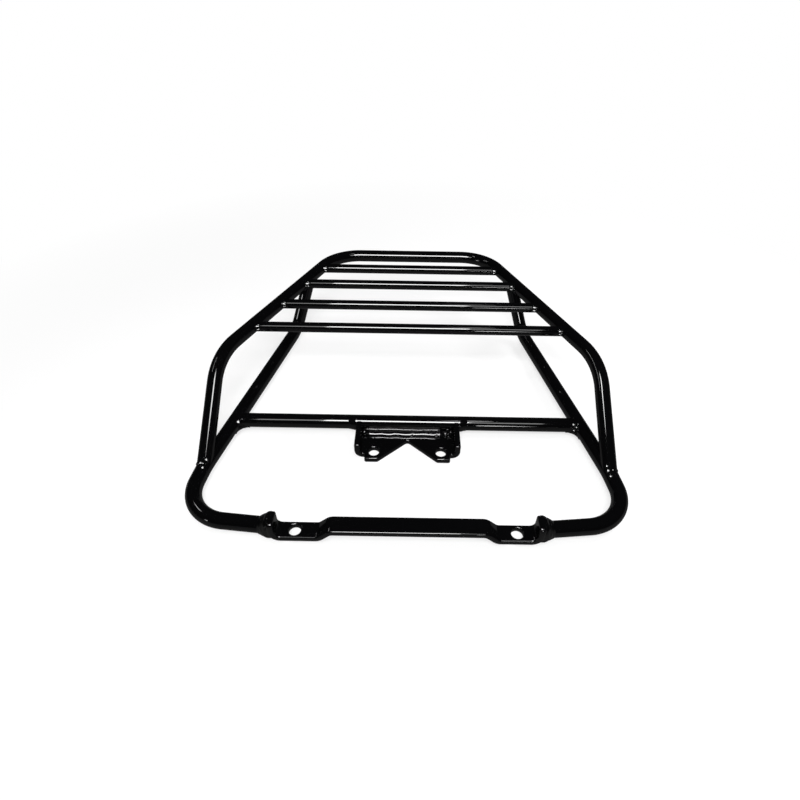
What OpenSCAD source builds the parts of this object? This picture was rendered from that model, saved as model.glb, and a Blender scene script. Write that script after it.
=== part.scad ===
// Rear luggage carrier: a welded steel tube frame with a slatted deck.
// X is across the carrier, +Y is rearward and +Z is up. The origin lies midway between
// the two bolt holes of the front strap, on the underside of the strap.

/* [Tubes] */
// Outside diameter of the frame tubes
tube_d = 12.7; // [11:0.1:14]
// Wall thickness of the frame tubes
tube_wall = 1.6; // [1:0.1:2.5]
// Diameter of the deck slats, solid round rod
slat_d = 9.5; // [8:0.5:11]

/* [Base] */
// Distance from the strap's bolt holes back to the cross tube
cross_y = 113.5; // [105:0.5:120]
// Half the distance between the side tubes' centre lines at the cross tube
cross_half_w = 154.5; // [150:0.5:160]
// Angle at which the side tubes close in towards the rear
side_taper = 11.9; // [10:0.1:14]
// Angle at which the side tubes close in between the front bend and the leg foot
fore_taper = 5.4; // [2:0.1:9]
// Angle at which the front runs of the side tubes sweep back
front_sweep = 5.5; // [2:0.1:9]
// Distance from the bolt holes back to the tube centre where it meets the strap's ear
front_run_y = 2.1; // [0:0.1:4]
// Centre line radius of the front bend
front_bend_r = 34; // [28:1:38]
// Centre line radius of the slight bend at the leg foot
foot_bend_r = 100; // [60:5:150]
// How far the rear posts lean back between the bend at their foot and their top
post_lean = 16; // [12:0.5:24]
// Centre line radius of the bend up into the rear post
post_bend_r = 20; // [16:1:24]

/* [Deck] */
// Height of the deck tube's centre line above the base tubes' centre line
deck_h = 48; // [42:1:60]
// Distance from the bolt holes back to the foot of the legs
foot_y = 58; // [56:1:66]
// Distance from the bolt holes back to the corner where the legs turn into the rails
deck_front_y = 145.5; // [138:0.5:150]
// Half the distance between the rails' centre lines at that corner
deck_front_half_w = 169; // [164:0.5:174]
// Centre line radius of the bend from leg to rail
leg_bend_r = 74; // [50:1:80]
// Angle at which the rails close in towards the rear
rail_taper = 23.1; // [21:0.1:25]
// Distance from the bolt holes back to the rear run of the deck tube
deck_rear_y = 339.5; // [336:0.5:350]
// Centre line radius of the rear bends of the deck tube
rear_bend_r = 44; // [34:1:46]

/* [Slats] */
// Spacing between the rear run of the deck tube and the rear slat
rear_slat_inset = 31.5; // [28:0.5:36]
// Spacing between the rear slat and the one in front of it, which the posts meet
rear_slat_pitch = 34.5; // [28:0.5:38]
// Spacing of the other slats
slat_pitch = 41; // [36:0.5:44]
// How far the post's top stands inside the rail's centre line
post_inset = 4.6; // [3:0.1:6]

/* [Front strap] */
// Width of the strap, front to back
strap_w = 14.5; // [13:0.5:20]
// Thickness of the strap
strap_t = 5; // [4:0.5:6]
// Distance between the strap's two bolt holes
strap_hole_span = 165; // [158:1:172]
// Diameter of the strap's bolt holes
strap_hole_d = 9; // [6:0.5:10]
// Distance across the outside faces of the strap's ears
ear_span = 202; // [198:1:210]
// Height of the ears above the underside of the strap
ear_h = 19; // [17:0.2:22]
// Corner radius at the top of the ears
ear_corner_r = 3; // [1:0.5:5]
// Length of the raised middle of the strap, along its top
raised_span = 115; // [100:1:120]
// Length over which each end of the raised middle steps down
joggle_run = 8.5; // [7:0.5:14]
// How far the raised middle sits to the right of the strap's own middle
raised_shift = 1.5; // [-3:0.5:3]
// Inside radius of the strap's bends
strap_bend_r = 4; // [3:0.5:5.5]

/* [Bracket] */
// Distance across the outside faces of the bracket's cheeks
bracket_w = 91; // [88:1:110]
// Thickness of the bracket
bracket_t = 5; // [4:0.5:6]
// Inside radius of the bends between the plate and the cheeks
bracket_bend_r = 2.5; // [1.5:0.5:4]
// Distance from the cross tube's centre forward to the front edge of the bolt tabs
tab_reach = 39; // [37:0.5:50]
// Distance from the cross tube's centre forward to the front edge of the cheeks
cheek_reach = 33.5; // [25:0.5:36]
// Height of the cheeks' top edge above the cross tube's centre
cheek_rise = 4.8; // [3:0.1:5.2]
// Distance between the bracket's two bolt holes
bracket_hole_span = 58; // [54:0.5:62]
// Distance from the cross tube's centre forward to the bolt holes
bracket_hole_reach = 30; // [28:0.5:32]
// Diameter of the bracket's bolt holes
bracket_hole_d = 9; // [6:0.5:10]
// Distance across the outside edges of the bolt tabs
tab_span = 73.6; // [70:0.2:76]
// Width of the notch between the tabs at their front edge
notch_w = 51; // [44:1:52]
// Distance from the cross tube's centre forward to the apex of the notch
notch_reach = 16; // [13:0.5:20]
// Radius of the notch's apex
notch_r = 3; // [1:0.5:5]
// Depth by which the cross tube beds into the plate
bed_depth = 0.75; // [0.3:0.05:1.5]

/* [Welds] */
// Leg length of the fillets around the tube joints
tube_fillet = 2.4; // [1.5:0.1:3.5]
// Leg length of the fillets around the slats' ends
slat_fillet = 1.8; // [1:0.1:2.5]
// Length of the flared fillet between the tube and the strap's ear
ear_fillet = 8; // [5:0.5:10]
// How far that fillet stands out under the tube, where it meets the ear
under_fillet = 2.2; // [1:0.1:4]
// Radius of the long bead between the cross tube and the bracket's plate
bead_r = 6.4; // [4:0.1:7]

/* [Hidden] */
$fn = 64;
enamel = [0.03, 0.03, 0.035];
tube_r = tube_d / 2;
bore_d = tube_d - 2 * tube_wall;
base_z = tube_r;
deck_z = base_z + deck_h;
cut_margin = 1;
// Bends are drawn this much fuller than the straights, which run on into them a little way
tube_swell = 0.08;
flat_swell = 0.02;
bend_lap = 0.15;
// Gap left where a tube is coped to another of the same diameter
cope_gap = 0.02;
// Rise of a fillet above the tube that a branch is welded to
fillet_rise = 1.2;
ear_half_w = ear_span / 2;
rear_slat_y = deck_rear_y - rear_slat_inset;
post_slat_y = rear_slat_y - rear_slat_pitch;
slat_ys = [post_slat_y - 2 * slat_pitch, post_slat_y - slat_pitch, post_slat_y, rear_slat_y];
post_foot_y = post_slat_y - post_lean;

// Centre lines of the base

function side_x(y) = cross_half_w - (y - cross_y) * tan(side_taper);
function front_run_at(x) = front_run_y + (x - ear_half_w) * tan(front_sweep);
function fore_x(y) = side_x(foot_y) - (y - foot_y) * tan(fore_taper);
front_corner_x = (fore_x(front_run_at(0))) / (1 + tan(front_sweep) * tan(fore_taper));
strap_end = [ear_half_w - strap_t, front_run_at(ear_half_w - strap_t), base_z];
front_corner = [front_corner_x, front_run_at(front_corner_x), base_z];
foot = [side_x(foot_y), foot_y, base_z];
post_foot = [side_x(post_foot_y), post_foot_y, base_z];

// Centre lines of the deck

function rail_x(y) = deck_front_half_w - (y - deck_front_y) * tan(rail_taper);
deck_front = [deck_front_half_w, deck_front_y, deck_z];
deck_rear = [rail_x(deck_rear_y), deck_rear_y, deck_z];
post_drop = tube_d / 4;
post_top = [rail_x(post_slat_y) - post_inset, post_slat_y, deck_z - post_drop];

side_line = [strap_end, front_corner, foot, post_foot, post_top];
side_radii = [front_bend_r, foot_bend_r, post_bend_r];
deck_line = [
    mirrored(foot), mirrored(deck_front), mirrored(deck_rear), deck_rear, deck_front, foot
];
deck_radii = [leg_bend_r, rear_bend_r, rear_bend_r, leg_bend_r];

// Vectors

function unit(v) = v / norm(v);
function mirrored(p) = [-p[0], p[1], p[2]];
function between(a, b, t) = a + (b - a) * t;

// Half the angle by which a line turns at its corner b
function half_turn(a, b, c) = (180 - acos(unit(a - b) * unit(c - b))) / 2;
// Where an arc of radius r leaves the straight from b towards a
function tangent_point(a, b, c, r) = b + unit(a - b) * r * tan(half_turn(a, b, c));
// Centre of the arc of radius r at the corner b
function bend_centre(a, b, c, r) = b + unit(unit(a - b) + unit(c - b)) * r / cos(half_turn(a, b, c));

// Puts its children at a point, with their Z axis along z_dir and X axis near x_dir
module place(point, z_dir, x_dir) {
    z = unit(z_dir);
    y = unit(cross(z, x_dir));
    x = cross(y, z);
    multmatrix([
        [x[0], y[0], z[0], point[0]],
        [x[1], y[1], z[1], point[1]],
        [x[2], y[2], z[2], point[2]],
        [0, 0, 0, 1]
    ]) children();
}

// A round bar from one point to another
module rod(a, b, d) {
    side = abs(unit(b - a)[2]) > 0.9 ? [1, 0, 0] : [0, 0, 1];
    place(a, b - a, side) cylinder(d = d, h = norm(b - a));
}

// A bend of radius r from a towards c, around the corner b
module elbow(a, b, c, r, d) {
    centre = bend_centre(a, b, c, r);
    start = tangent_point(a, b, c, r) - centre;
    end = tangent_point(c, b, a, r) - centre;
    place(centre, cross(start, end), start)
        rotate_extrude(angle = 2 * half_turn(a, b, c))
            translate([r, 0]) circle(d = d + 2 * tube_swell);
}

// Ends of the straight from the line's point i to the next, lapping into the bends
function straight_ends(line, radii, i) =
    let(
        along = unit(line[i + 1] - line[i]) * bend_lap,
        last = len(line) - 1,
        from = i == 0 ? line[0]
            : tangent_point(line[i + 1], line[i], line[i - 1], radii[i - 1]) - along,
        to = i == last - 1 ? line[last]
            : tangent_point(line[i], line[i + 1], line[i + 2], radii[i]) + along
    )
    [from, to];

// A round bar that follows a line of points, with an arc at each corner
module bent_rod(line, radii, d) {
    last = len(line) - 1;
    for (i = [0 : last - 1]) {
        ends = straight_ends(line, radii, i);
        rod(ends[0], ends[1], d);
    }
    for (i = [1 : last - 1])
        elbow(line[i - 1], line[i], line[i + 1], radii[i - 1], d);
}

// A flat bar of thickness t, bent in the XZ plane and standing between y_from and y_to
module bent_flat(line, radii, t, y_from, y_to) {
    last = len(line) - 1;
    for (i = [0 : last - 1]) {
        ends = straight_ends(line, radii, i);
        run = ends[1] - ends[0];
        place(ends[0] + [0, y_from, 0], run, [0, 1, 0])
            translate([0, -t / 2, 0]) cube([y_to - y_from, t, norm(run)]);
    }
    for (i = [1 : last - 1]) {
        a = line[i - 1];
        b = line[i];
        c = line[i + 1];
        centre = bend_centre(a, b, c, radii[i - 1]);
        start = tangent_point(a, b, c, radii[i - 1]) - centre;
        end = tangent_point(c, b, a, radii[i - 1]) - centre;
        turn = cross(start, end);
        place(centre + [0, turn[1] > 0 ? y_from : y_to, 0], turn, start)
            rotate_extrude(angle = 2 * half_turn(a, b, c))
                translate([radii[i - 1] - t / 2 - flat_swell, 0])
                    square([t + 2 * flat_swell, y_to - y_from]);
    }
}

// The solid outer shapes that other pieces are cut against

module side_tube_outer() {
    bent_rod(side_line, side_radii, tube_d);
}

module side_straight(d) {
    rod(foot, post_foot, d);
}

// The side tube on both sides of the leg's foot
module side_at_foot(d) {
    bent_rod([front_corner, foot, post_foot], [foot_bend_r], d);
}

module rail_straight(d) {
    rod(deck_front, deck_rear, d);
}

// The bend from leg to rail
module leg_bend() {
    elbow(foot, deck_front, deck_rear, leg_bend_r, tube_d);
}

module cross_straight(d, half_length) {
    rod([-half_length, cross_y, base_z], [half_length, cross_y, base_z], d);
}

module slat_straight(y, d, half_length) {
    rod([-half_length, y, deck_z], [half_length, y, deck_z], d);
}

// Space inside the outer face of the strap's ear
module inside_ear() {
    translate([0, -strap_w * 2, -tube_d]) cube([ear_half_w, strap_w * 4, tube_d * 3]);
}

// Pieces, drawn on the right side and mirrored for the left

module side_tube() {
    color(enamel) difference() {
        side_tube_outer();
        bent_rod(side_line, side_radii, bore_d);
        inside_ear();
        rail_straight(tube_d);
        slat_straight(post_slat_y, slat_d, rail_x(post_slat_y));
    }
}

module cross_tube() {
    color(enamel) difference() {
        cross_straight(tube_d, side_x(cross_y));
        cross_straight(bore_d, side_x(cross_y) + cut_margin);
        for (side = [0, 1]) mirror([side, 0, 0]) side_straight(tube_d + 2 * cope_gap);
    }
}

module deck_tube() {
    color(enamel) difference() {
        bent_rod(deck_line, deck_radii, tube_d);
        bent_rod(deck_line, deck_radii, bore_d);
        for (side = [0, 1]) mirror([side, 0, 0]) side_at_foot(tube_d + 2 * cope_gap);
    }
}

module slat(index) {
    y = slat_ys[index];
    color(enamel) difference() {
        slat_straight(y, slat_d, rail_x(y));
        for (side = [0, 1]) mirror([side, 0, 0]) {
            rail_straight(tube_d);
            leg_bend();
        }
    }
}

strap_low = strap_t / 2;
strap_high = tube_d - strap_t / 2;
joggle_out = raised_span / 2 + joggle_run;
strap_mid_r = strap_bend_r + strap_t / 2;
strap_half_line = [
    [raised_span / 2, 0, strap_high],
    [joggle_out, 0, strap_low],
    [ear_half_w - strap_t / 2, 0, strap_low],
    [ear_half_w - strap_t / 2, 0, ear_h]
];
raised_offset = [raised_shift, 0, 0];
strap_line = [
    for (i = [3 : -1 : 0]) mirrored(strap_half_line[i]) + (i < 2 ? raised_offset : [0, 0, 0]),
    for (i = [0 : 3]) strap_half_line[i] + (i < 2 ? raised_offset : [0, 0, 0])
];
strap_radii = [for (i = [0 : 5]) strap_mid_r];

// Outline of the strap seen from its end, with the top corners of the ears rounded
module ear_outline(low = -cut_margin) {
    flat_top = strap_w / 2 - ear_corner_r;
    translate([-strap_w / 2, low]) square([strap_w, ear_h - ear_corner_r - low]);
    translate([-flat_top, 0]) square([2 * flat_top, ear_h]);
    for (y = [-flat_top, flat_top]) translate([y, ear_h - ear_corner_r]) circle(r = ear_corner_r);
}

module along_x(length) {
    rotate([90, 0, 90]) translate([0, 0, -length / 2]) linear_extrude(length) children();
}

module front_strap() {
    color(enamel) difference() {
        intersection() {
            bent_flat(strap_line, strap_radii, strap_t, -strap_w, strap_w);
            along_x(ear_span + 2 * cut_margin) ear_outline();
        }
        for (x = [-strap_hole_span / 2, strap_hole_span / 2])
            translate([x, 0, -cut_margin]) cylinder(d = strap_hole_d, h = strap_t + 2 * cut_margin);
    }
}

plate_top = bed_depth;
plate_bottom = plate_top - bracket_t;
cheek_mid = bracket_w / 2 - bracket_t / 2;
cheek_top = base_z + cheek_rise;
bracket_mid_r = bracket_bend_r + bracket_t / 2;
bracket_line = [
    [-cheek_mid, 0, cheek_top],
    [-cheek_mid, 0, plate_bottom + bracket_t / 2],
    [cheek_mid, 0, plate_bottom + bracket_t / 2],
    [cheek_mid, 0, cheek_top]
];

module notch_outline() {
    apex = -notch_reach;
    foot_slope = (notch_w / 2) / (tab_reach - notch_reach);
    half_angle = atan(foot_slope);
    depth = tab_reach - notch_reach + cut_margin;
    round_drop = notch_r / sin(half_angle);
    flank = notch_r / tan(half_angle);
    difference() {
        polygon([[0, apex], [-depth * foot_slope, apex - depth], [depth * foot_slope, apex - depth]]);
        polygon([
            [0, apex + cut_margin],
            [flank * sin(half_angle), apex - flank * cos(half_angle)],
            [0, apex - round_drop],
            [-flank * sin(half_angle), apex - flank * cos(half_angle)]
        ]);
    }
    translate([0, apex - round_drop]) circle(r = notch_r);
}

module mounting_bracket() {
    color(enamel) difference() {
        union() {
            bent_flat(bracket_line, [bracket_mid_r, bracket_mid_r], bracket_t,
                cross_y - cheek_reach, cross_y);
            translate([-tab_span / 2, cross_y - tab_reach, plate_bottom])
                cube([tab_span, tab_reach + tube_r, bracket_t]);
        }
        translate([0, cross_y, plate_bottom - cut_margin])
            linear_extrude(bracket_t + 2 * cut_margin) notch_outline();
        for (x = [-bracket_hole_span / 2, bracket_hole_span / 2])
            translate([x, cross_y - bracket_hole_reach, plate_bottom - cut_margin])
                cylinder(d = bracket_hole_d, h = bracket_t + 2 * cut_margin);
        cross_straight(tube_d, bracket_w);
    }
}

// Welds

// The corner between a branch from a to b and a main tube from c to e
module fillet_between(a, b, branch_d, c, e, main_d, w, rise) {
    difference() {
        intersection() {
            rod(a, b, branch_d + 2 * w);
            rod(c, e, main_d + 2 * rise);
        }
        rod(a, b, branch_d + 2 * cope_gap);
        rod(c, e, main_d);
    }
}

// A flare from the tube out to the top of the ear, which also fills the corner under
// the ear's bend. It leans, because it stands out less under the tube than over it.
module strap_weld() {
    run = [ear_half_w, front_run_at(ear_half_w), base_z];
    outward = unit(front_corner - run);
    over_fillet = ear_h - tube_d;
    ear_bend_r = strap_bend_r + strap_t + flat_swell;
    toe = run + outward * ear_fillet;
    toe_r = tube_r + 0.3;
    at_ear = run + [0, 0, (over_fillet - under_fillet) / 2];
    flare = (over_fillet + under_fillet) / 2;
    beyond = 1 + ear_bend_r / ear_fillet;
    root = between(toe, at_ear, beyond);
    color(enamel) difference() {
        intersection() {
            place(root, toe - root, [0, 0, 1])
                cylinder(r1 = toe_r + (flare - 0.3) * beyond, r2 = toe_r, h = norm(toe - root));
            translate([ear_half_w, 0, 0]) along_x(4 * ear_fillet) ear_outline(cope_gap);
        }
        rod(run, front_corner, tube_d);
        translate([ear_half_w - ear_bend_r + flat_swell, -strap_w, 0])
            translate([0, 0, ear_bend_r - flat_swell]) rotate([-90, 0, 0])
                cylinder(r = ear_bend_r, h = 2 * strap_w);
        translate([0, -strap_w, ear_bend_r - flat_swell])
            cube([ear_half_w, 2 * strap_w, ear_h]);
        translate([0, -strap_w, -strap_w])
            cube([ear_half_w - 0.7 * ear_bend_r, 2 * strap_w, 3 * strap_w]);
    }
}

module leg_weld() {
    toe = between(foot, deck_front, -0.01);
    color(enamel) difference() {
        intersection() {
            rod(toe, between(foot, deck_front, 0.5), tube_d + 2 * tube_fillet);
            side_at_foot(tube_d + 2 * fillet_rise);
            translate([0, 0, base_z - tube_fillet]) cube([2 * cross_half_w, 2 * cross_y, deck_h]);
        }
        rod(between(foot, deck_front, -0.1), deck_front, tube_d + 2 * cope_gap);
        side_at_foot(tube_d);
    }
}

module post_weld() {
    color(enamel) difference() {
        intersection() {
            rod(between(post_foot, post_top, 0.6), post_top, tube_d + 2 * tube_fillet);
            rail_straight(tube_d + 2 * tube_fillet);
        }
        rod(post_foot, post_top + (post_top - post_foot), tube_d);
        rail_straight(tube_d);
        slat_straight(post_slat_y, slat_d, rail_x(post_slat_y));
    }
}

module cross_tube_welds() {
    color(enamel) for (side = [0, 1]) mirror([side, 0, 0])
        fillet_between([0, cross_y, base_z], [side_x(cross_y), cross_y, base_z], tube_d,
            foot, post_foot, tube_d, tube_fillet, fillet_rise, $fn = 128);
}

module slat_welds(index) {
    y = slat_ys[index];
    color(enamel) for (side = [0, 1]) mirror([side, 0, 0]) difference() {
        fillet_between([rail_x(y), y, deck_z], [0, y, deck_z], slat_d,
            deck_front, deck_rear, tube_d, slat_fillet, slat_fillet, $fn = 240);
        leg_bend();
    }
}

module bracket_welds() {
    inner_w = bracket_w - 2 * bracket_t - 2 * bracket_bend_r;
    cheek_w = bracket_w / 2;
    color(enamel) difference() {
        translate([-inner_w / 2, cross_y - tube_r, plate_top])
            rotate([0, 90, 0]) cylinder(r = bead_r, h = inner_w);
        cross_straight(tube_d, bracket_w);
        translate([-bracket_w, cross_y - tab_reach, plate_bottom - bead_r])
            cube([2 * bracket_w, 2 * tab_reach, bracket_t + bead_r]);
    }
    for (side = [0, 1]) mirror([side, 0, 0]) color(enamel) difference() {
        intersection() {
            translate([cheek_w, cross_y, base_z]) rotate([0, 90, 0])
                cylinder(r1 = tube_r + tube_fillet, r2 = tube_r + 0.3, h = tube_fillet);
            translate([cheek_w - 1, cross_y - tube_d, 0.5]) cube([2 * tube_d, tube_d, cheek_top - 0.5]);
        }
        cross_straight(tube_d, bracket_w);
    }
}

mirror([1, 0, 0]) side_tube();  // side_tube_left
side_tube();  // side_tube_right
cross_tube();
front_strap();
mounting_bracket();
deck_tube();
slat(0);  // slat_1
slat(1);  // slat_2
slat(2);  // slat_3
slat(3);  // slat_4
mirror([1, 0, 0]) strap_weld();  // strap_weld_left
strap_weld();  // strap_weld_right
mirror([1, 0, 0]) leg_weld();  // leg_weld_left
leg_weld();  // leg_weld_right
mirror([1, 0, 0]) post_weld();  // post_weld_left
post_weld();  // post_weld_right
cross_tube_welds();
bracket_welds();
slat_welds(0);  // slat_1_welds
slat_welds(1);  // slat_2_welds
slat_welds(2);  // slat_3_welds
slat_welds(3);  // slat_4_welds
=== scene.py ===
import bpy
import math
import random
from mathutils import Matrix, Vector


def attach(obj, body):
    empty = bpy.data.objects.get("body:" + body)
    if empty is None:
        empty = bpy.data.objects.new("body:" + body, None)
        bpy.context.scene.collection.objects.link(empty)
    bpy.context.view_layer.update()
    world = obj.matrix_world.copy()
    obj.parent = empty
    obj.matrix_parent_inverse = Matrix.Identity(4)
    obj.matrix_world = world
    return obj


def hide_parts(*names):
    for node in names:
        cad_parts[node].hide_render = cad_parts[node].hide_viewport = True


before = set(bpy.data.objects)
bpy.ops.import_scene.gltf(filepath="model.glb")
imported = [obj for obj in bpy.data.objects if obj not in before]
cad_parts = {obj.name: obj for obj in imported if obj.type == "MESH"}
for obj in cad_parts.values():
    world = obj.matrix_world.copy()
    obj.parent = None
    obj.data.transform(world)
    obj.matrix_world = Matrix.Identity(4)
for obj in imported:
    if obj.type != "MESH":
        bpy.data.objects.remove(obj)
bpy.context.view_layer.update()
print("frame loaded, with", len(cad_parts), "parts")

mm = 0.001
near = 0.1 * mm   # how closely a point has to lie where an edge is picked
scene = bpy.context.scene


def vec(x, y, z):
    return Vector((x, y, z)) * mm


def mirrored(point):
    return Vector((-point.x, point.y, point.z))


def clearSelection():
    bpy.ops.object.select_all(action="DESELECT")


def deg(angle):
    return math.radians(angle)


# the carrier's sizes in mm and degrees, as the part is built

carrier = {
    "tubeRadius": 6.35,
    "slatRadius": 4.75,
    "baseHeight": 6.35,
    "deckHeight": 54.35,
    "crossY": 113.5,
    "crossHalf": 154.5,
    "sideTaper": 11.9,
    "foreTaper": 5.4,
    "frontSweep": 5.5,
    "frontRunY": 2.1,
    "earHalf": 101.0,
    "earGap": 0.3,
    "footY": 58.0,
    "postLean": 16.0,
    "deckFrontY": 145.5,
    "deckFrontHalf": 169.0,
    "railTaper": 23.1,
    "deckRearY": 339.5,
    "rearSlatInset": 31.5,
    "rearSlatPitch": 34.5,
    "slatPitch": 41.0,
    "postInset": 4.6,
}
c = carrier
baseZ, deckZ = c["baseHeight"], c["deckHeight"]
rearSlatY = c["deckRearY"] - c["rearSlatInset"]
postSlatY = rearSlatY - c["rearSlatPitch"]
slatYs = [postSlatY - 2 * c["slatPitch"], postSlatY - c["slatPitch"], postSlatY, rearSlatY]


def sideX(y):
    return c["crossHalf"] - (y - c["crossY"]) * math.tan(deg(c["sideTaper"]))


def foreX(y):
    return sideX(c["footY"]) - (y - c["footY"]) * math.tan(deg(c["foreTaper"]))


def railX(y):
    return c["deckFrontHalf"] - (y - c["deckFrontY"]) * math.tan(deg(c["railTaper"]))


def frontRunAt(x):
    return c["frontRunY"] + (x - c["earHalf"]) * math.tan(deg(c["frontSweep"]))


sweepTan, foreTan = math.tan(deg(c["frontSweep"])), math.tan(deg(c["foreTaper"]))
frontCornerX = foreX(frontRunAt(0)) / (1 + sweepTan * foreTan)
tubeEndX = c["earHalf"] + c["earGap"]
strapEnd = vec(tubeEndX, frontRunAt(tubeEndX), baseZ)
frontCorner = vec(frontCornerX, frontRunAt(frontCornerX), baseZ)
foot = vec(sideX(c["footY"]), c["footY"], baseZ)
postFootY = postSlatY - c["postLean"]
postFoot = vec(sideX(postFootY), postFootY, baseZ)
postTop = vec(railX(postSlatY) - c["postInset"], postSlatY, deckZ - c["tubeRadius"] / 2)
deckFront = vec(c["deckFrontHalf"], c["deckFrontY"], deckZ)
deckRear = vec(railX(c["deckRearY"]), c["deckRearY"], deckZ)


# scales are in waves to the metre, and a noise is its scale, detail and roughness

enamelLook = {
    "colour": (0.0012, 0.0012, 0.0014, 1),
    "dustColour": (0.0016, 0.0016, 0.0018, 1),
    "dustNoise": (38, 6, 0.65),
    "dustFrom": 0.48, "dustTo": 0.80,
    "ior": 1.58,
    "roughLow": 0.035, "roughHigh": 0.07,
    "roughNoise": (55, 4, 0.55),
    "roughFrom": 0.3, "roughTo": 0.7,
    "peelNoise": (620, 2, 0.5),   # orange peel
    "peelDepth": 0.000002,
    "runNoise": (95, 3, 0.5),     # slow waves where the enamel ran before it set
    "runDepth": 0.000018,
}
weldLook = dict(enamelLook, roughLow=0.08, roughHigh=0.16, peelDepth=0.000006, runDepth=0.000054)


def makeEnamel(name, look):
    material = bpy.data.materials.new(name)
    material.use_nodes = True
    nodes, links = material.node_tree.nodes, material.node_tree.links
    nodes.clear()
    output = nodes.new("ShaderNodeOutputMaterial")
    shader = nodes.new("ShaderNodeBsdfPrincipled")
    place = nodes.new("ShaderNodeTexCoord")
    shader.inputs["IOR"].default_value = look["ior"]
    links.new(shader.outputs["BSDF"], output.inputs["Surface"])

    def noise(scale, detail, roughness):
        n = nodes.new("ShaderNodeTexNoise")
        n.inputs["Scale"].default_value = scale
        n.inputs["Detail"].default_value = detail
        n.inputs["Roughness"].default_value = roughness
        links.new(place.outputs["Object"], n.inputs["Vector"])
        return n

    def bump(height, depth):
        b = nodes.new("ShaderNodeBump")
        b.inputs["Strength"].default_value = 1
        b.inputs["Distance"].default_value = depth
        links.new(height.outputs["Fac"], b.inputs["Height"])
        return b

    # settled dust and handling marks lift the black a little, in patches
    marks = noise(*look["dustNoise"])
    ramp = nodes.new("ShaderNodeValToRGB")
    ramp.color_ramp.elements[0].position = look["dustFrom"]
    ramp.color_ramp.elements[1].position = look["dustTo"]
    ramp.color_ramp.elements[0].color = look["colour"]
    ramp.color_ramp.elements[1].color = look["dustColour"]
    links.new(marks.outputs["Fac"], ramp.inputs["Fac"])
    links.new(ramp.outputs["Color"], shader.inputs["Base Color"])

    # gloss varies with the coat's thickness
    gloss = noise(*look["roughNoise"])
    spread = nodes.new("ShaderNodeMapRange")
    spread.inputs["From Min"].default_value = look["roughFrom"]
    spread.inputs["From Max"].default_value = look["roughTo"]
    spread.inputs["To Min"].default_value = look["roughLow"]
    spread.inputs["To Max"].default_value = look["roughHigh"]
    links.new(gloss.outputs["Fac"], spread.inputs["Value"])
    links.new(spread.outputs["Result"], shader.inputs["Roughness"])

    # orange peel over slow runs
    peel = noise(*look["peelNoise"])
    runs = noise(*look["runNoise"])
    runBump = bump(runs, look["runDepth"])
    peelBump = bump(peel, look["peelDepth"])
    links.new(runBump.outputs["Normal"], peelBump.inputs["Normal"])
    links.new(peelBump.outputs["Normal"], shader.inputs["Normal"])
    return material


enamel = makeEnamel("blackEnamel", enamelLook)
weldEnamel = makeEnamel("weldEnamel", weldLook)
print("enamel mixed")


# shaping tools

shaping = {
    "mergeWithin": 0.000002, "smoothAngle": 35, "weldSmoothAngle": 60,
    "tubeSegments": 48, "slatSegments": 40, "tubeStep": 3.5, "flatStep": 7.5, "leastSteps": 3,
    "noTurn": 0.001, "cutDepth": 20, "holeSegments": 64, "easeSegments": 3, "easeAngle": 40,
    "squareOn": 0.9,
}


def startEdit(piece):
    clearSelection()
    piece.select_set(True)
    bpy.context.view_layer.objects.active = piece
    bpy.ops.object.mode_set(mode="EDIT")
    bpy.ops.mesh.select_all(action="SELECT")


def applyModifier(piece, modifier):
    clearSelection()
    piece.select_set(True)
    bpy.context.view_layer.objects.active = piece
    bpy.ops.object.modifier_apply(modifier=modifier.name)


def finishPiece(piece, name, nodes, material=enamel,
                smooth=shaping["smoothAngle"]):
    startEdit(piece)
    bpy.ops.mesh.remove_doubles(threshold=shaping["mergeWithin"])
    bpy.ops.mesh.normals_make_consistent(inside=False)
    bpy.ops.object.mode_set(mode="OBJECT")
    bpy.ops.object.transform_apply(location=True, rotation=True, scale=True)
    bpy.ops.object.shade_smooth_by_angle(angle=deg(smooth))
    piece.name = name
    piece.data.name = name
    piece.data.materials.clear()
    piece.data.materials.append(material)
    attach(piece, "root")
    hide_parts(*nodes)
    return piece


def addRing(point, along, radius, segments):
    clearSelection()
    bpy.ops.mesh.primitive_circle_add(vertices=segments, radius=radius, location=point)
    ring = bpy.context.object
    ring.rotation_mode = "QUATERNION"
    ring.rotation_quaternion = along.to_track_quat("Z", "Y")
    bpy.ops.object.transform_apply(location=True, rotation=True, scale=True)
    return ring


def addFlatSection(point, thickness, width):
    clearSelection()
    bpy.ops.mesh.primitive_plane_add(size=1, location=point)
    section = bpy.context.object
    section.scale = (thickness, width, 1)
    bpy.ops.object.transform_apply(location=True, rotation=True, scale=True)
    startEdit(section)
    bpy.ops.mesh.delete(type="ONLY_FACE")
    bpy.ops.object.mode_set(mode="OBJECT")
    return section


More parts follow.
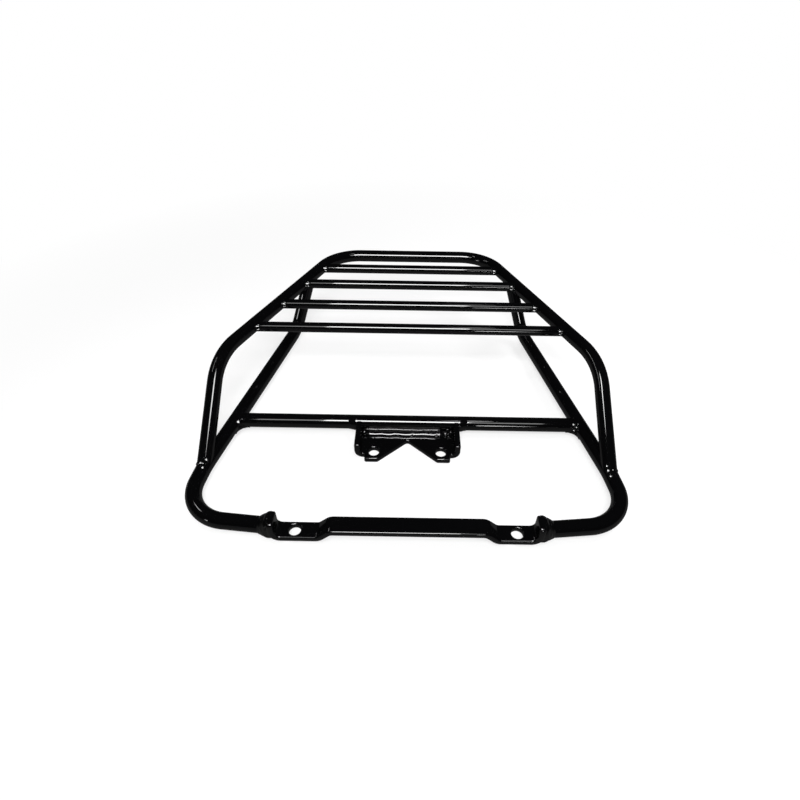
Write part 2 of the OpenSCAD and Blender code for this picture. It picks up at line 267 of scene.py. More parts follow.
def drawAlong(piece, line, radii, stepAngle=shaping["tubeStep"]):
    # the open section is drawn out along each straight and spun round each corner
    startEdit(piece)
    here = line[0]
    for index in range(1, len(line) - 1):
        incoming = (line[index] - line[index - 1]).normalized()
        outgoing = (line[index + 1] - line[index]).normalized()
        turn = incoming.angle(outgoing)
        radius = radii[index - 1] * mm
        setBack = radius * math.tan(turn / 2)
        bendStart = line[index] - incoming * setBack
        bpy.ops.mesh.extrude_region_move(TRANSFORM_OT_translate={"value": bendStart - here})
        here = bendStart
        if turn > shaping["noTurn"]:
            axis = incoming.cross(outgoing).normalized()
            inward = axis.cross(incoming).normalized()
            bpy.ops.mesh.spin(
                steps=max(shaping["leastSteps"], round(math.degrees(turn) / stepAngle)),
                angle=-turn,
                center=bendStart + inward * radius,
                axis=axis,
            )
            here = line[index] + outgoing * setBack
    bpy.ops.mesh.extrude_region_move(TRANSFORM_OT_translate={"value": line[-1] - here})
    closeEnds()
    bpy.ops.object.mode_set(mode="OBJECT")


def closeEnds():
    bpy.ops.mesh.select_all(action="DESELECT")
    bpy.ops.mesh.select_mode(type="EDGE")
    bpy.ops.mesh.select_non_manifold(
        extend=False, use_wire=False, use_boundary=True,
        use_multi_face=False, use_non_contiguous=False, use_verts=False,
    )
    bpy.ops.mesh.edge_face_add()
    bpy.ops.mesh.select_mode(type="VERT")


def selectFaces(piece, wanted):
    bpy.ops.mesh.select_mode(type="FACE")
    bpy.ops.mesh.select_all(action="DESELECT")
    bpy.ops.object.mode_set(mode="OBJECT")
    for face in piece.data.polygons:
        face.select = wanted(face)
    bpy.ops.object.mode_set(mode="EDIT")


def selectEdges(piece, wanted):
    bpy.ops.mesh.select_mode(type="EDGE")
    bpy.ops.mesh.select_all(action="DESELECT")
    bpy.ops.object.mode_set(mode="OBJECT")
    points = piece.data.vertices
    for edge in piece.data.edges:
        edge.select = wanted(points[edge.vertices[0]].co, points[edge.vertices[1]].co)
    bpy.ops.object.mode_set(mode="EDIT")


def cutWith(piece, cutter):
    cut = piece.modifiers.new("cut", "BOOLEAN")
    cut.operation = "DIFFERENCE"
    cut.solver = "EXACT"
    cut.object = cutter
    applyModifier(piece, cut)
    bpy.data.objects.remove(cutter, do_unlink=True)


def drill(piece, x, y, z, diameter):
    clearSelection()
    bpy.ops.mesh.primitive_cylinder_add(
        vertices=shaping["holeSegments"], radius=diameter / 2 * mm,
        depth=shaping["cutDepth"] * mm, location=vec(x, y, z),
    )
    cutWith(piece, bpy.context.object)


def easeEdges(piece, width):
    ease = piece.modifiers.new("ease", "BEVEL")
    ease.width = width * mm
    ease.segments = shaping["easeSegments"]
    ease.use_clamp_overlap = False
    ease.limit_method = "ANGLE"
    ease.angle_limit = deg(shaping["easeAngle"])
    ease.miter_outer = "MITER_ARC"
    applyModifier(piece, ease)


# tubes and slats

def bentTube(name, nodes, line, radii, radius, segments=shaping["tubeSegments"]):
    tube = addRing(line[0], line[1] - line[0], radius * mm, segments)
    drawAlong(tube, line, radii)
    return finishPiece(tube, name, nodes)


sideTube = {"radii": [34, 100, 20], "line": [strapEnd, frontCorner, foot, postFoot, postTop]}
bentTube("sideTubeRight", ["side_tube_right"], sideTube["line"], sideTube["radii"],
         c["tubeRadius"])
bentTube("sideTubeLeft", ["side_tube_left"], [mirrored(p) for p in sideTube["line"]],
         sideTube["radii"], c["tubeRadius"])
print("side tubes bent")

deckTube = {
    "radii": [74, 44, 44, 74],
    "line": [mirrored(foot), mirrored(deckFront), mirrored(deckRear), deckRear, deckFront, foot],
}
bentTube("deckTube", ["deck_tube"], deckTube["line"], deckTube["radii"], c["tubeRadius"])
bentTube("crossTube", ["cross_tube"],
         [vec(-c["crossHalf"], c["crossY"], baseZ), vec(c["crossHalf"], c["crossY"], baseZ)],
         [], c["tubeRadius"])
for index, y in enumerate(slatYs):
    bentTube(f"slat{index + 1}", [f"slat_{index + 1}"],
             [vec(-railX(y), y, deckZ), vec(railX(y), y, deckZ)], [], c["slatRadius"],
             shaping["slatSegments"])
print("deck tube, cross tube and slats in place")


# front strap

frontStrap = {
    "width": 14.5, "thickness": 5, "earHeight": 19, "earCorner": 3, "midHeight": 10.2,
    "bendRadius": 6.5, "raisedHalf": 57.5, "joggleOut": 66, "raisedShift": 1.5,
    "holeHalfSpan": 82.5, "hole": 9, "cornerSegments": 8, "edge": 1.3,
}


def makeStrap(s):
    half, low = c["earHalf"] - s["thickness"] / 2, s["thickness"] / 2
    rightHalf = [
        vec(s["raisedHalf"], 0, s["midHeight"]), vec(s["joggleOut"], 0, low),
        vec(half, 0, low), vec(half, 0, s["earHeight"]),
    ]
    line = [mirrored(p) for p in reversed(rightHalf)] + rightHalf
    line[2:6] = [p + vec(s["raisedShift"], 0, 0) for p in line[2:6]]
    strap = addFlatSection(line[0], s["thickness"] * mm, s["width"] * mm)
    drawAlong(strap, line, [s["bendRadius"]] * (len(line) - 2), shaping["flatStep"])
    startEdit(strap)
    top, side = s["earHeight"] * mm, s["width"] / 2 * mm
    selectEdges(strap, lambda a, b: all(
        p.z > top - near and abs(abs(p.y) - side) < near for p in (a, b)) and a.y * b.y > 0)
    bpy.ops.mesh.bevel(offset=s["earCorner"] * mm, segments=s["cornerSegments"])
    bpy.ops.object.mode_set(mode="OBJECT")
    for x in (-s["holeHalfSpan"], s["holeHalfSpan"]):
        drill(strap, x, 0, low, s["hole"])
    easeEdges(strap, s["edge"])
    return finishPiece(strap, "frontStrap", ["front_strap"])


makeStrap(frontStrap)
print("front strap bent and drilled")


# mounting bracket

bracket = {
    "cheekMid": 43, "thickness": 5, "plateMid": -1.75, "bendRadius": 5, "cheekTop": 11.15,
    "cheekReach": 33.5, "tabReach": 39, "tabHalf": 36.8, "notchHalf": 25.5,
    "notchReach": 16, "notchRadius": 3, "notchSegments": 10, "notchOver": 6,
    "holeHalfSpan": 29, "holeReach": 30, "hole": 9, "edge": 1.4,
}


def makeNotchCutter(b):
    # a three-sided prism whose apex points back, with its apex rounded
    depth = b["tabReach"] - b["notchReach"]
    reach = depth + b["notchOver"]
    halfWidth = b["notchHalf"] * reach / depth
    clearSelection()
    bpy.ops.mesh.primitive_cylinder_add(vertices=3, radius=1, depth=shaping["cutDepth"] * mm)
    cutter = bpy.context.object
    corners = [(0, -b["notchReach"]), (halfWidth, -b["notchReach"] - reach),
               (-halfWidth, -b["notchReach"] - reach)]
    places = {(round(v.co.x, 4), round(v.co.y, 4)) for v in cutter.data.vertices}
    apex, *rest = sorted(places, key=lambda p: -p[1])
    rest.sort(key=lambda p: -p[0])
    for vertex in cutter.data.vertices:
        key = (round(vertex.co.x, 4), round(vertex.co.y, 4))
        x, y = corners[0] if key == apex else corners[1 + rest.index(key)]
        vertex.co.x, vertex.co.y = x * mm, (c["crossY"] + y) * mm
    startEdit(cutter)
    selectEdges(cutter, lambda a, b: abs(a.x) < near and abs(b.x) < near)
    halfAngle = math.atan(b["notchHalf"] / depth)
    bpy.ops.mesh.bevel(offset=b["notchRadius"] / math.tan(halfAngle) * mm,
                       segments=b["notchSegments"])
    bpy.ops.mesh.select_all(action="SELECT")
    bpy.ops.mesh.normals_make_consistent(inside=False)
    bpy.ops.object.mode_set(mode="OBJECT")
    return cutter


def makeBracket(b):
    yFront = c["crossY"] - b["cheekReach"]
    yMid = (yFront + c["crossY"]) / 2
    line = [vec(x, yMid, z) for x, z in (
        (-b["cheekMid"], b["cheekTop"]), (-b["cheekMid"], b["plateMid"]),
        (-b["tabHalf"], b["plateMid"]), (b["tabHalf"], b["plateMid"]),
        (b["cheekMid"], b["plateMid"]), (b["cheekMid"], b["cheekTop"]))]
    plate = addFlatSection(line[0], b["thickness"] * mm, b["cheekReach"] * mm)
    drawAlong(plate, line, [b["bendRadius"], 0, 0, b["bendRadius"]], shaping["flatStep"])
    startEdit(plate)
    bpy.ops.mesh.normals_make_consistent(inside=False)
    edges = ((-1, b["cheekReach"] - b["tabReach"]), (1, c["tubeRadius"]))
    for facing, reach in edges:
        selectFaces(plate, lambda f: f.normal.y * facing > shaping["squareOn"]
                    and abs(f.center.x) < b["tabHalf"] * mm)
        bpy.ops.mesh.extrude_region_move(TRANSFORM_OT_translate={"value": (0, reach * mm, 0)})
    bpy.ops.object.mode_set(mode="OBJECT")
    cutWith(plate, makeNotchCutter(b))
    for x in (-b["holeHalfSpan"], b["holeHalfSpan"]):
        drill(plate, x, c["crossY"] - b["holeReach"], b["plateMid"], b["hole"])
    easeEdges(plate, b["edge"])
    return finishPiece(plate, "mountingBracket", ["mounting_bracket"])


makeBracket(bracket)
print("bracket bent, notched and drilled")


# weld beads

seed = 11
chance = random.Random(seed)

# lengths in mm; the waves are counted along a whole bead
beads = {
    "slatRadius": 2.2, "slatSink": 1.0, "slatSteps": 150,
    "tubeRadius": 2.8, "tubeSink": 1.3, "tubeSteps": 150, "legSteps": 220, "postSteps": 180,
    "thinning": 0.6, "smoothing": 4, "pitch": 1.9, "leastRipples": 3, "rise": 0.2,
    "wander": 0.14, "waves": (1, 2, 3, 5, 7), "weakestWave": 0.4, "waveShare": 3,
    "steep": 0.9, "roundness": 6, "lumpSize": 2.2, "lumpDepth": 0.55, "lumpLayers": 2,
}


def saddlePath(start, toward, branchRadius, mainPoint, mainAlong, mainRadius, count):
    # where a branch tube's wall runs into the wall of the tube it is welded to, and how
    # near each point is to the sides, where the two walls only graze each other
    along, mainAlong = toward.normalized(), mainAlong.normalized()
    steep = abs(along.z) >= beads["steep"]
    across = along.cross(Vector((1, 0, 0)) if steep else Vector((0, 0, 1)))
    across.normalize()
    up = across.cross(along)
    grazing = along.cross(mainAlong).normalized()
    path, thin = [], []
    for i in range(count):
        a = 2 * math.pi * i / count
        radial = across * math.cos(a) + up * math.sin(a)
        thin.append(abs(radial.dot(grazing)))
        p = start + radial * branchRadius * mm
        w = p - mainPoint
        flatW = w - mainAlong * w.dot(mainAlong)
        flatD = along - mainAlong * along.dot(mainAlong)
        qa, qb = flatD.dot(flatD), flatW.dot(flatD)
        qc = flatW.dot(flatW) - (mainRadius * mm) ** 2
        root = math.sqrt(max(0, qb * qb - qa * qc))
        path.append(p + along * ((-qb - root) / qa))
    return path, thin


def smoothPath(path, passes):
    for _ in range(passes):
        path = [(path[i - 1] + path[i] * 2 + path[(i + 1) % len(path)]) / 4
                for i in range(len(path))]
    return path


def beadRadii(path, radius, b):
    # each ripple is the edge of one puddle, and the bead's width wanders as the hand did
    turn = 2 * math.pi
    steps = [(path[(i + 1) % len(path)] - path[i]).length for i in range(len(path))]
    total = sum(steps)
    ripples = max(b["leastRipples"], round(total / (b["pitch"] * mm)))
    sway = [(chance.uniform(b["weakestWave"], 1), chance.uniform(0, turn), k)
            for k in b["waves"]]
    radii, run = [], 0
    for step in steps:
        s = run / total
        drift = sum(size * math.sin(turn * k * s + shift) for size, shift, k in sway)
        ripple = abs(math.sin(math.pi * ripples * s))
        radii.append(radius + b["rise"] * ripple + b["wander"] * drift / b["waveShare"])
        run += step
    return radii


def addBead(path, radii, closed=True):
    curve = bpy.data.curves.new("bead", "CURVE")
    curve.dimensions = "3D"
    curve.bevel_depth = mm
    curve.bevel_resolution = beads["roundness"]
    curve.use_fill_caps = not closed
    spline = curve.splines.new("POLY")
    spline.points.add(len(path) - 1)
    for point, place, radius in zip(spline.points, path, radii):
        point.co = (*place, 1)
        point.radius = radius
    spline.use_cyclic_u = closed
    bead = bpy.data.objects.new("bead", curve)
    bpy.context.collection.objects.link(bead)
    clearSelection()
    bead.select_set(True)
    bpy.context.view_layer.objects.active = bead
    bpy.ops.object.convert(target="MESH")
    return bpy.context.object


def mirrorCopy(piece):
    clearSelection()
    piece.select_set(True)
    bpy.context.view_layer.objects.active = piece
    bpy.ops.object.duplicate()
    twin = bpy.context.object
    twin.scale = (-1, 1, 1)
    bpy.ops.object.transform_apply(location=False, rotation=False, scale=True)
    return twin


def joined(pieces):
    clearSelection()
    for piece in pieces:
        piece.select_set(True)
    bpy.context.view_layer.objects.active = pieces[0]
    bpy.ops.object.join()
    return bpy.context.object


def roughen(piece, size, depth):
    lumps = bpy.data.textures.new("lumps", "CLOUDS")
    lumps.noise_scale = size * mm
    lumps.noise_depth = beads["lumpLayers"]
    push = piece.modifiers.new("lumps", "DISPLACE")
    push.texture = lumps
    push.texture_coords = "LOCAL"
    push.mid_level = 0.5
    push.strength = depth * mm
    applyModifier(piece, push)


def finishWeld(piece, name, nodes):
    return finishPiece(piece, name, nodes, weldEnamel,
                       shaping["weldSmoothAngle"])


dab = {
    "flatness": 0.45, "stretch": 1.5, "facing": (0.05, -0.66, 0.75), "fineness": 4,
    "lumpSize": 3.2, "lumpDepth": 0.35,
}


def addDrop(x, y, z, radius, flatness=1.0, stretch=1.0):
    # a small blob of weld, left round or pressed flat from the front and top
    clearSelection()
    bpy.ops.mesh.primitive_ico_sphere_add(subdivisions=dab["fineness"], radius=radius * mm,
                                          location=vec(x, y, z))
    drop = bpy.context.object
    drop.scale = (stretch, 1, flatness)
    drop.rotation_mode = "QUATERNION"
    drop.rotation_quaternion = Vector(dab["facing"]).to_track_quat("Z", "Y")
    bpy.ops.object.transform_apply(location=True, rotation=True, scale=True)
    roughen(drop, dab["lumpSize"], dab["lumpDepth"])
    return drop


def levelAlong(along, side):
    return Vector((side * along.x, along.y, 0))


def tubeBead(start, end, branchRadius, mainPoint, mainAlong, kind, count):
    radius, sink = beads[kind + "Radius"], beads[kind + "Sink"]
    path, thin = saddlePath(start, end - start, branchRadius - sink, mainPoint, mainAlong,
                            c["tubeRadius"] - sink, count)
    path = smoothPath(path, beads["smoothing"])
    radii = beadRadii(path, radius, beads)
    radii = [r * (1 - beads["thinning"] * t) for r, t in zip(radii, thin)]
    bead = addBead(path, radii)
    roughen(bead, beads["lumpSize"], beads["lumpDepth"])
    return bead


# blobs at each slat's end: distance in from the rail's axis, forward, up, and radius
endDabs = [(6.2, 3.4, 2.6, 3.3), (7.6, 4.6, 0.0, 2.2)]


def makeSlatWelds(index, y):
    pieces = []
    for side in (1, -1):
        end = vec(side * railX(y), y, deckZ)
        pieces.append(tubeBead(vec(0, y, deckZ), end, c["slatRadius"], end,
                               levelAlong(deckRear - deckFront, side), "slat",
                               beads["slatSteps"]))
    for side in (1, -1):
        for inward, forward, up, radius in endDabs:
            pieces.append(addDrop(side * (railX(y - forward) - inward), y - forward,
                                  deckZ + up, radius, dab["flatness"], dab["stretch"]))
    finishWeld(joined(pieces), f"slatWelds{index + 1}", [f"slat_{index + 1}_welds"])


for index, y in enumerate(slatYs):
    makeSlatWelds(index, y)

cornerFill = {
    "radius": 3.1, "hollow": 7, "height": 3.9, "steps": 28, "overrun": 1.25, "endShare": 0.93,
}
# blobs in front of the cross tube's ends: x, y, z and radius
crossDabs = [(148.6, 109.5, 10.4, 2.8), (150.8, 106.4, 9.8, 3.0),
             (-147.4, 109.9, 10.5, 2.0), (-150.9, 106.5, 10.0, 3.2)]


def fillCorner(side, f):
    # weld drawn round the inside of the corner between the cross tube and a side tube
    taper = deg(c["sideTaper"])
    wallY = c["crossY"] - c["tubeRadius"]
    wallX = sideX(wallY) - c["tubeRadius"] / math.cos(taper)
    half = (math.pi / 2 + taper) / 2
    reach = f["hollow"] / math.sin(half)
    bisector = math.pi + half   # from the cross tube's wall, turning towards the front
    centreX, centreY = wallX + reach * math.cos(bisector), wallY + reach * math.sin(bisector)
    arc, radii = [], []
    away = f["hollow"] + f["radius"]
    swing = (math.pi / 2 - half) * f["overrun"]
    for i in range(f["steps"] + 1):
        t = i / f["steps"]
        a = bisector - math.pi + swing * (2 * t - 1)
        arc.append(vec(side * (centreX + away * math.cos(a)), centreY + away * math.sin(a),
                       f["height"]))
        swell = math.sin(math.pi * t)
        radii.append(f["radius"] * (f["endShare"] + (1 - f["endShare"]) * swell))
    fill = addBead(arc, radii, closed=False)
    roughen(fill, beads["lumpSize"], beads["lumpDepth"])
    return fill


def makeCrossWelds():
    pieces = []
    for side in (1, -1):
        end = vec(side * c["crossHalf"], c["crossY"], baseZ)
        pieces.append(tubeBead(vec(0, c["crossY"], baseZ), end, c["tubeRadius"], end,
                               levelAlong(postFoot - foot, side), "tube", beads["tubeSteps"]))
    pieces += [fillCorner(side, cornerFill) for side in (1, -1)]
    pieces += [addDrop(*place, dab["flatness"]) for place in crossDabs]
    finishWeld(joined(pieces), "crossTubeWelds", ["cross_tube_welds"])


makeCrossWelds()

# blobs in front of each foot: x, y, z and radius
footDabs = {
    "Right": [(163.7, 59.4, 12.9, 2.4), (164.0, 55.0, 12.1, 2.9), (164.7, 49.4, 11.9, 3.1)],
    "Left": [(-164.5, 58.6, 13.1, 3.2), (-165.2, 51.4, 12.1, 2.3)],
}


def makeLegAndPostWelds(side, word):
    legEnds, postEnds = [deckFront, foot], [postFoot, postTop]
    if side < 0:
        legEnds, postEnds = [mirrored(p) for p in legEnds], [mirrored(p) for p in postEnds]
    railStart = vec(side * c["deckFrontHalf"], c["deckFrontY"], deckZ)
    legBead = tubeBead(*legEnds, c["tubeRadius"], legEnds[1],
                       levelAlong(postFoot - foot, side), "tube", beads["legSteps"])
    dabs = [addDrop(*place, dab["flatness"]) for place in footDabs[word]]
    finishWeld(joined([legBead] + dabs), f"legWeld{word}", [f"leg_weld_{word.lower()}"])
    postBead = tubeBead(*postEnds, c["tubeRadius"], railStart,
                        levelAlong(deckRear - deckFront, side), "tube", beads["postSteps"])
    finishWeld(postBead, f"postWeld{word}", [f"post_weld_{word.lower()}"])


makeLegAndPostWelds(1, "Right")
makeLegAndPostWelds(-1, "Left")
print("tube welds laid")

longBead = {
    "step": 0.5, "taper": 5, "endShare": 0.55, "lift": 0.4, "swell": 0.3,
    "waveLengths": (53, 31, 19, 13), "weakestWave": 0.5, "waveShift": 6.3, "waveShare": 3,
    # y, z, radius, sway and the reach in x of the root, upper edge, crown and lower edge
    "runs": [(105.4, 0.5, 3.3, 0.2, -38, 38), (107.4, 3.0, 1.5, 0.3, -38, 31),
             (104.0, 0.2, 4.1, 0.75, -38, 33), (99.7, 0.1, 1.25, 0.5, -32, 26)],
    "lumpSize": 7, "lumpDepth": 0.55,
    "drops": [(-38.4, 104.3, 2.6, 2.9), (35.6, 107.4, 4.2, 1.8), (38.6, 105.0, 3.0, 2.3),
              (36.2, 101.6, 1.2, 1.8)],   # x, y, z and radius of the lumps at its ends
}


def addRun(w, y, z, radius, sway, xFrom, xTo):
    # slow waves only, so that each run keeps one long ridge
    waves = [(chance.uniform(w["weakestWave"], 1), chance.uniform(0, w["waveShift"]),
              2 * math.pi / length) for length in w["waveLengths"]]
    count = round((xTo - xFrom) / w["step"])
    path, radii = [], []
    for i in range(count + 1):
        x = xFrom + (xTo - xFrom) * i / count
        drift = sum(size * math.sin(k * x + shift) for size, shift, k in waves)
        swell = sum(size * math.sin(k * x - shift) for size, shift, k in waves)
        drift, swell = sway * drift / w["waveShare"], sway * swell / w["waveShare"]
        tail = min(1, (min(x - xFrom, xTo - x) + 1) / w["taper"])
        path.append(vec(x, y + drift, z + w["lift"] * drift))
        narrowing = w["endShare"] + (1 - w["endShare"]) * math.sqrt(tail)
        radii.append((radius + w["swell"] * swell) * narrowing)
    run = addBead(path, radii, closed=False)
    roughen(run, w["lumpSize"], w["lumpDepth"])
    return run


collar = {
    # distance out from the cheek's face and height over the tube's wall, ring by ring
    "rings": [(-0.4, 1.3), (0.5, 1.45), (1.6, 1.25), (3.0, 0.9), (4.6, 0.55), (6.2, 0.25),
              (7.6, -0.1), (8.6, -0.6)],
    # outside the arc from top to bottom, in degrees, the collar sinks into the tube
    "sunk": -0.7, "top": 100, "bottom": 250, "blend": 14,
    "segments": 96, "lumpSize": 1.9, "lumpDepth": 0.5,
}


def makeCollar(side, k):
    # weld that climbs from the cross tube on to the outside of a cheek
    face = bracket["cheekMid"] + bracket["thickness"] / 2
    out, stand = k["rings"][0]
    here, radius = side * (face + out), c["tubeRadius"] + stand
    weld = addRing(vec(here, c["crossY"], baseZ), Vector((side, 0, 0)), radius * mm,
                   k["segments"])
    startEdit(weld)
    for out, stand in k["rings"][1:]:
        there, newRadius = side * (face + out), c["tubeRadius"] + stand
        bpy.ops.mesh.extrude_region_move(
            TRANSFORM_OT_translate={"value": ((there - here) * mm, 0, 0)})
        grow = newRadius / radius
        bpy.ops.transform.resize(value=(1, grow, grow),
                                 center_override=vec(there, c["crossY"], baseZ))
        here, radius = there, newRadius
    closeEnds()
    bpy.ops.object.mode_set(mode="OBJECT")
    roughen(weld, k["lumpSize"], k["lumpDepth"])
    hidden = (c["tubeRadius"] + k["sunk"]) * mm
    for vertex in weld.data.vertices:
        y, z = vertex.co.y - c["crossY"] * mm, vertex.co.z - baseZ * mm
        reach, angle = math.hypot(y, z), math.degrees(math.atan2(z, y)) % 360
        inside = min(angle - k["top"], k["bottom"] - angle) / k["blend"]
        keep = max(0, min(1, inside))
        scale = (hidden + (reach - hidden) * keep) / reach
        vertex.co.y, vertex.co.z = c["crossY"] * mm + y * scale, baseZ * mm + z * scale
    return weld


def makeBracketWelds(w):
    pieces = [addRun(w, *run) for run in w["runs"]]
    pieces += [addDrop(*drop) for drop in w["drops"]]
    pieces += [makeCollar(side, collar) for side in (1, -1)]
    return finishWeld(joined(pieces), "bracketWelds", ["bracket_welds"])


makeBracketWelds(longBead)

earWeld = {
    "reach": 8.2, "over": 6.3, "under": 1.7, "startInset": 0.35, "inset": 0.1,
    "steps": 30, "segments": 72, "ripples": 3.1, "ripple": 0.2,
    "lumpSize": 3.6, "lumpDepth": 0.85, "sideGap": 0.2, "topGap": 0.25, "floorGap": 0.12,
    # rings behind the ear's face lie inside the strap: how far behind, and their ceiling
    "inside": ((2, 18.4), (4.1, 6.2), (7.4, 3.6)), "slack": 0.8,
}


def makeEarWeld(w):
    # a leaning flare from the tube out to the edges of the strap's ear, in overlapping passes
    outward = (frontCorner - strapEnd).normalized()
    face = vec(c["earHalf"], frontRunAt(c["earHalf"]), baseZ)
    start = face + outward * w["reach"] * mm
    lift = vec(0, 0, (w["over"] - w["under"]) / 2)
    spread = (w["over"] + w["under"]) / 2
    radius, here = c["tubeRadius"] - w["startInset"], start
    flare = addRing(start, -outward, radius * mm, w["segments"])
    startEdit(flare)
    for i in range(1, w["steps"] + 1):
        s = i / w["steps"]
        wave = w["ripple"] * abs(math.sin(math.pi * w["ripples"] * s))
        newRadius = c["tubeRadius"] - w["inset"] + spread * s + wave
        there = start - outward * w["reach"] * s * mm + lift * s
        bpy.ops.mesh.extrude_region_move(TRANSFORM_OT_translate={"value": there - here})
        grow = newRadius / radius
        bpy.ops.transform.resize(value=(grow, grow, grow), center_override=there)
        radius, here = newRadius, there
    inside = [((c["earHalf"] - behind) * mm, ceiling * mm) for behind, ceiling in w["inside"]]
    for x, _ in inside:
        bpy.ops.mesh.extrude_region_move(TRANSFORM_OT_translate={"value": (x - here.x, 0, 0)})
        here = Vector((x, here.y, here.z))
    closeEnds()
    bpy.ops.object.mode_set(mode="OBJECT")
    roughen(flare, w["lumpSize"], w["lumpDepth"])
    halfWidth = (frontStrap["width"] / 2 - w["sideGap"]) * mm
    for vertex in flare.data.vertices:
        p = vertex.co
        top = (frontStrap["earHeight"] - w["topGap"]) * mm
        for x, ceiling in inside:
            if p.x < x + w["slack"] * mm:
                top = ceiling
        p.y = max(-halfWidth, min(halfWidth, p.y))
        p.z = max(w["floorGap"] * mm, min(top, p.z))
    return flare


rightEar = makeEarWeld(earWeld)
leftEar = mirrorCopy(rightEar)
finishWeld(rightEar, "strapWeldRight", ["strap_weld_right"])
finishWeld(leftEar, "strapWeldLeft", ["strap_weld_left"])
print("bracket and strap welds laid")


# floor, background and lights

studio = {
    "middle": (0, 170, 30), "floorPlace": (0, 150, -4.35), "floorSize": 40,
    "floorColour": (0.93, 0.93, 0.93, 1), "roomColour": (1, 1, 1, 1),
    "fill": 0.14, "roomGloss": 0.008, "floorGloss": 0.12,
    "floorOwn": 0.72, "nearReach": 0.28, "farReach": 0.62,
}


def viewSwitch(nodes, links, plain, gloss):
    # 1 for what the camera sees, a dimmer surround in reflections, plain for the rest
    ray = nodes.new("ShaderNodeLightPath")
    seen = nodes.new("ShaderNodeMath")
    seen.operation = "MAXIMUM"
    links.new(ray.outputs["Is Camera Ray"], seen.inputs[0])
    links.new(ray.outputs["Is Transmission Ray"], seen.inputs[1])
    inGloss = nodes.new("ShaderNodeMix")
    inGloss.data_type = "FLOAT"
    inGloss.inputs["A"].default_value = plain
    inGloss.inputs["B"].default_value = gloss
    links.new(ray.outputs["Is Glossy Ray"], inGloss.inputs["Factor"])
    strength = nodes.new("ShaderNodeMix")
    strength.data_type = "FLOAT"
    strength.inputs["B"].default_value = 1
    links.new(inGloss.outputs["Result"], strength.inputs["A"])
    links.new(seen.outputs["Value"], strength.inputs["Factor"])
    return strength.outputs["Result"]


def makeWorld(s):
    world = bpy.data.worlds.new("paleRoom")
    scene.world = world
    world.use_nodes = True
    nodes, links = world.node_tree.nodes, world.node_tree.links
    background = nodes["Background"]
    background.inputs["Color"].default_value = s["roomColour"]
    links.new(viewSwitch(nodes, links, s["fill"], s["roomGloss"]),
              background.inputs["Strength"])


def makeFloor(s):
    clearSelection()
    bpy.ops.mesh.primitive_plane_add(size=s["floorSize"], location=vec(*s["floorPlace"]))
    floor = bpy.context.object
    floor.name = "floor"
    material = bpy.data.materials.new("paleFloor")
    material.use_nodes = True
    nodes, links = material.node_tree.nodes, material.node_tree.links
    nodes.clear()
    output = nodes.new("ShaderNodeOutputMaterial")
    paint = nodes.new("ShaderNodeBsdfDiffuse")
    paint.inputs["Color"].default_value = s["floorColour"]
    glow = nodes.new("ShaderNodeEmission")
    blend = nodes.new("ShaderNodeMixShader")
    links.new(viewSwitch(nodes, links, 0, s["floorGloss"]), glow.inputs["Strength"])
    # shadows show close to the carrier, and the floor turns to plain white further out
    place = nodes.new("ShaderNodeTexCoord")
    reach = nodes.new("ShaderNodeVectorMath")
    reach.operation = "LENGTH"
    links.new(place.outputs["Object"], reach.inputs[0])
    fade = nodes.new("ShaderNodeMapRange")
    fade.inputs["From Min"].default_value = s["nearReach"]
    fade.inputs["From Max"].default_value = s["farReach"]
    fade.inputs["To Min"].default_value = s["floorOwn"]
    links.new(reach.outputs["Value"], fade.inputs["Value"])
    ray = nodes.new("ShaderNodeLightPath")
    own = nodes.new("ShaderNodeMath")
    own.operation = "MAXIMUM"
    links.new(fade.outputs["Result"], own.inputs[1])
    links.new(ray.outputs["Is Glossy Ray"], own.inputs[0])
    links.new(own.outputs["Value"], blend.inputs["Fac"])
    links.new(paint.outputs["BSDF"], blend.inputs[1])
    links.new(glow.outputs["Emission"], blend.inputs[2])
    links.new(blend.outputs["Shader"], output.inputs["Surface"])
    floor.data.materials.append(material)


# places and targets are in mm, sizes in metres, power in watts, and spread in degrees

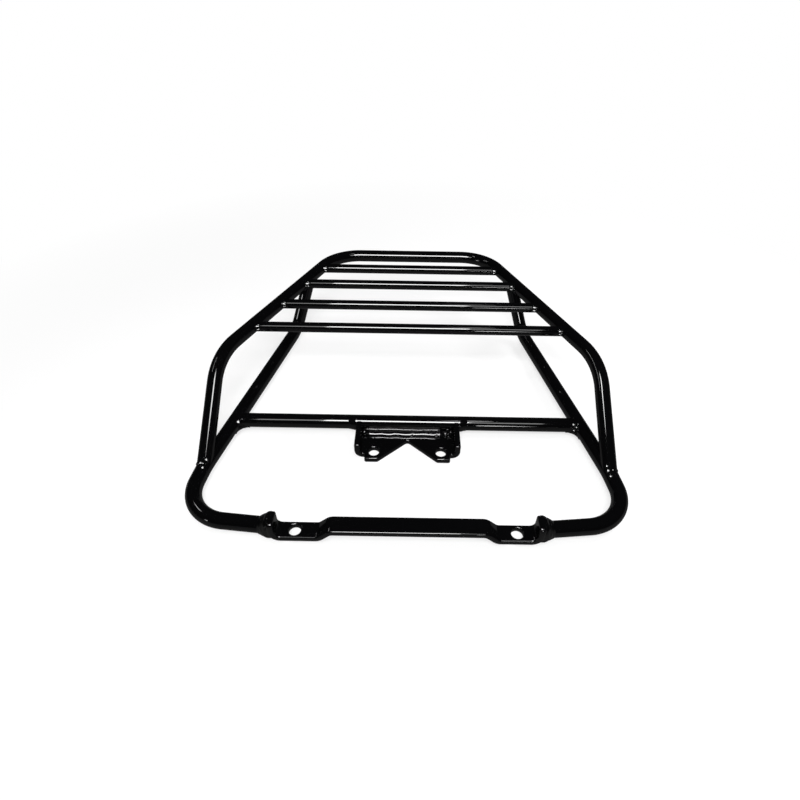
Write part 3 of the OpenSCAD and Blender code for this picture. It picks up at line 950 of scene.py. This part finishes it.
wide = 180   # the full spread of a lamp
lamps = {
    "softbox": {"place": (-30, -431.815, 828.6355), "size": (0.40, 0.30), "power": 7.6,
                "target": studio["middle"], "spread": wide},
    "wideGlow": {"place": (-20, -440, 834), "size": (0.80, 0.26), "power": 2.6,
                 "target": studio["middle"], "spread": wide},
    # narrow lamps, each for the line of light along one leg or post
    "rightStrip": {"place": (-200, 50, 980), "size": (0.30, 0.12), "power": 0.034,
                   "target": (165, 118, 46), "spread": 18},
    "leftStrip": {"place": (60, -30, 1000), "size": (0.28, 0.26), "power": 0.055,
                  "target": (-165, 105, 38), "spread": 20},
    "leftLamp": {"place": (-668, 330, 746), "size": (0.26, 0.05), "power": 0.25,
                 "target": (168, 135, 50), "spread": wide},
    "sideWindow": {"place": (-1000, -500, 240), "size": (0.32, 0.16), "power": 0.014,
                   "target": (-115, 265, 28), "spread": 16},
    "frontWindow": {"place": (320, -910, 166), "size": (0.24, 0.10), "power": 0.007,
                    "target": (130, 262, 22), "spread": 10},
    # a dull one, only for the shadow on the floor
    "shadowSoftbox": {"place": (620, 400, 780), "size": (0.40, 0.40), "power": 6.5,
                      "target": studio["middle"], "spread": wide, "shines": False},
}


def addLamp(name, lamp):
    place, target = vec(*lamp["place"]), vec(*lamp["target"])
    data = bpy.data.lights.new(name, "AREA")
    data.shape = "RECTANGLE"
    data.size, data.size_y = lamp["size"]
    data.energy = lamp["power"]
    data.spread = deg(lamp["spread"])
    light = bpy.data.objects.new(name, data)
    bpy.context.collection.objects.link(light)
    light.location = place
    light.rotation_euler = (target - place).to_track_quat("-Z", "Y").to_euler()
    light.visible_glossy = lamp.get("shines", True)


makeWorld(studio)
makeFloor(studio)
for name, lamp in lamps.items():
    addLamp(name, lamp)
print("floor, background and lights set")


# camera

# location in metres, tilt in degrees, roll in radians, lens and sensor in mm

view = {
    "location": (0, -0.22174, 0.33514), "tilt": 48, "roll": 0.01633,
    "lens": 23.44, "sensor": 36, "shiftX": -0.0102, "shiftY": 0.0003, "clipStart": 0.01,
}
cameraData = bpy.data.cameras.new("camera")
cameraData.lens = view["lens"]
cameraData.sensor_width = view["sensor"]
cameraData.shift_x = view["shiftX"]
cameraData.shift_y = view["shiftY"]
cameraData.clip_start = view["clipStart"]
camera = bpy.data.objects.new("camera", cameraData)
bpy.context.collection.objects.link(camera)
camera.matrix_world = (
    Matrix.Translation(view["location"])
    @ Matrix.Rotation(deg(view["tilt"]), 4, "X")
    @ Matrix.Rotation(view["roll"], 4, "Z")
)
scene.camera = camera
scene.view_settings.view_transform = "Standard"
